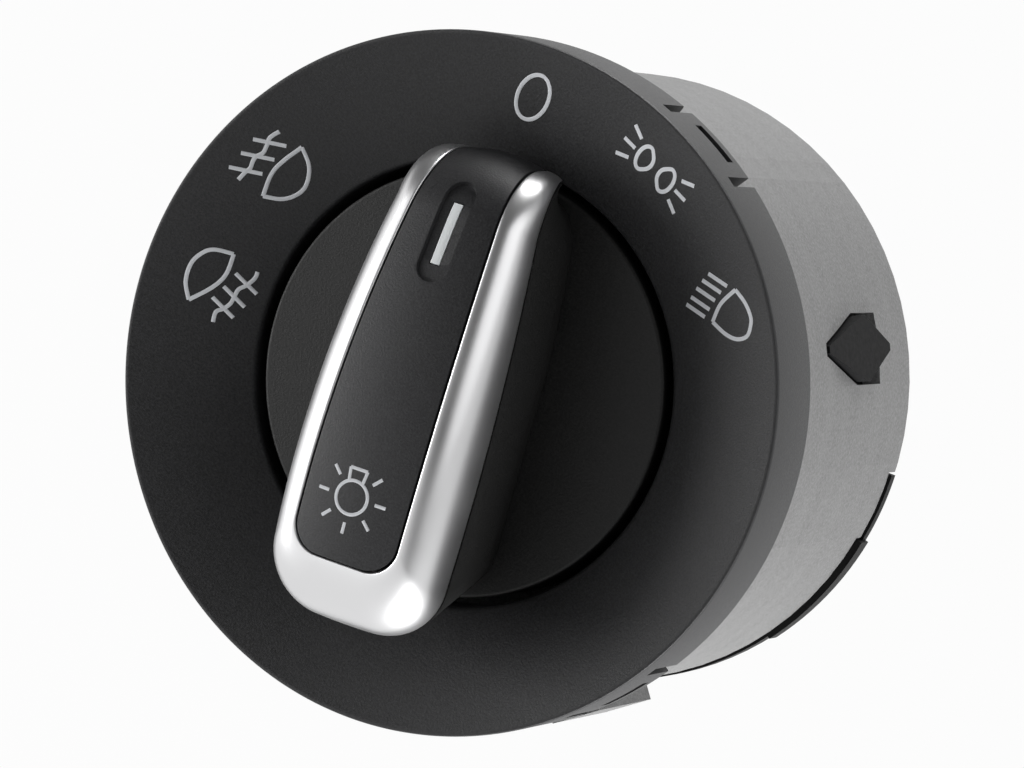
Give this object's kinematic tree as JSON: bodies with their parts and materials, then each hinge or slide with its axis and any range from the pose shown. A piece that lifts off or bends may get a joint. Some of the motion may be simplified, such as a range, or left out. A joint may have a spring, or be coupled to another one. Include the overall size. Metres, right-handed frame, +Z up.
{
  "type": "rotary headlight switch",
  "caption": "Round dashboard light switch: a turning and pulling bar knob in a dished bezel with lamp symbols, on a round housing with sprung locking latches and a rear connector.",
  "frame": {"origin": "on the switch's axis, in the plane where the back of the bezel's skirt seats on the panel", "axes": "+Y into the panel along the axis, +Z up with the symbols upright, +X to the driver's right"},
  "size_m": [0.068, 0.071, 0.068],
  "materials": {
    "face_black": "fine matte grain",
    "housing_grey": "matte moulded grain",
    "cover_black": "matte",
    "insert_black": "fine matte grain",
    "satin_silver": "satin metal plating on plastic",
    "lens_pale": "smooth, lets light through",
    "clear_guide": "clear, polished",
    "acetal_white": "smooth natural acetal",
    "acetal_dark": "smooth dark acetal",
    "board_green": "solder lacquer on glass-fibre board",
    "spring_steel": "drawn wire and strip",
    "contact_bronze": "bright contact bronze",
    "tinned_brass": "tinned",
    "lamp_body": "pale moulded lamp body"
  },
  "bodies": {
    "switch_body": {"bezel": "face_black", "housing": "housing_grey", "rear_cover": "cover_black", "main_board": "board_green", "lamp_board": "board_green", "lamp_off": "lamp_body", "lamp_side_lights": "lamp_body", "lamp_dipped_beam": "lamp_body", "lamp_front_fog": "lamp_body", "lamp_rear_fog": "lamp_body", "symbol_light_guide": "clear_guide", "knob_lamp_board": "board_green", "knob_lamp": "lamp_body", "connector_pin_01": "tinned_brass", "connector_pin_02": "tinned_brass", "connector_pin_03": "tinned_brass", "connector_pin_04": "tinned_brass", "connector_pin_05": "tinned_brass", "connector_pin_06": "tinned_brass", "connector_pin_07": "tinned_brass", "connector_pin_08": "tinned_brass", "connector_pin_09": "tinned_brass", "connector_pin_10": "tinned_brass", "detent_spring": "spring_steel", "latch_spring_right": "spring_steel", "latch_spring_left": "spring_steel", "fog_board": "board_green"},
    "rotor": {"detent_rotor": "acetal_white", "rotor_contact": "contact_bronze", "return_spring": "spring_steel"},
    "knob": {"knob_body": "face_black", "knob_trim": "satin_silver", "knob_insert": "insert_black", "pointer_lens": "lens_pale", "knob_light_guide": "clear_guide", "knob_shaft": "acetal_dark"},
    "fog_slider": {"fog_slider": "acetal_white", "fog_contact": "contact_bronze"},
    "latch_right": {"latch_right": "acetal_dark"},
    "latch_left": {"latch_left": "acetal_dark"}
  },
  "joints": [
    {"name": "knob_turn", "type": "hinge", "parent": "switch_body", "child": "rotor", "pos_m": [0, 0, 0], "axis": [0, 1, 0], "range_deg": [0, 58]},
    {"name": "knob_pull", "type": "slide", "parent": "rotor", "child": "knob", "axis": [0, -1, 0], "range_m": [-0.0025, 0.006], "deforming": ["return_spring"]},
    {"name": "fog_slide", "type": "slide", "parent": "switch_body", "child": "fog_slider", "axis": [0, -1, 0], "range_m": [-0.0025, 0.006]},
    {"name": "latch_right_slide", "type": "slide", "parent": "switch_body", "child": "latch_right", "axis": [-0.6211, 0, -0.7837], "range_m": [0, 0.0033], "stiffness_N_per_m": 300, "springref_m": -0.004, "deforming": ["latch_spring_right"]},
    {"name": "latch_left_slide", "type": "slide", "parent": "switch_body", "child": "latch_left", "axis": [0.6211, 0, 0.7837], "range_m": [0, 0.0033], "stiffness_N_per_m": 300, "springref_m": -0.004, "deforming": ["latch_spring_left"]}
  ],
  "couplings": [
    {"joint": "fog_slide", "follows": "knob_pull", "ratio": 1}
  ]
}
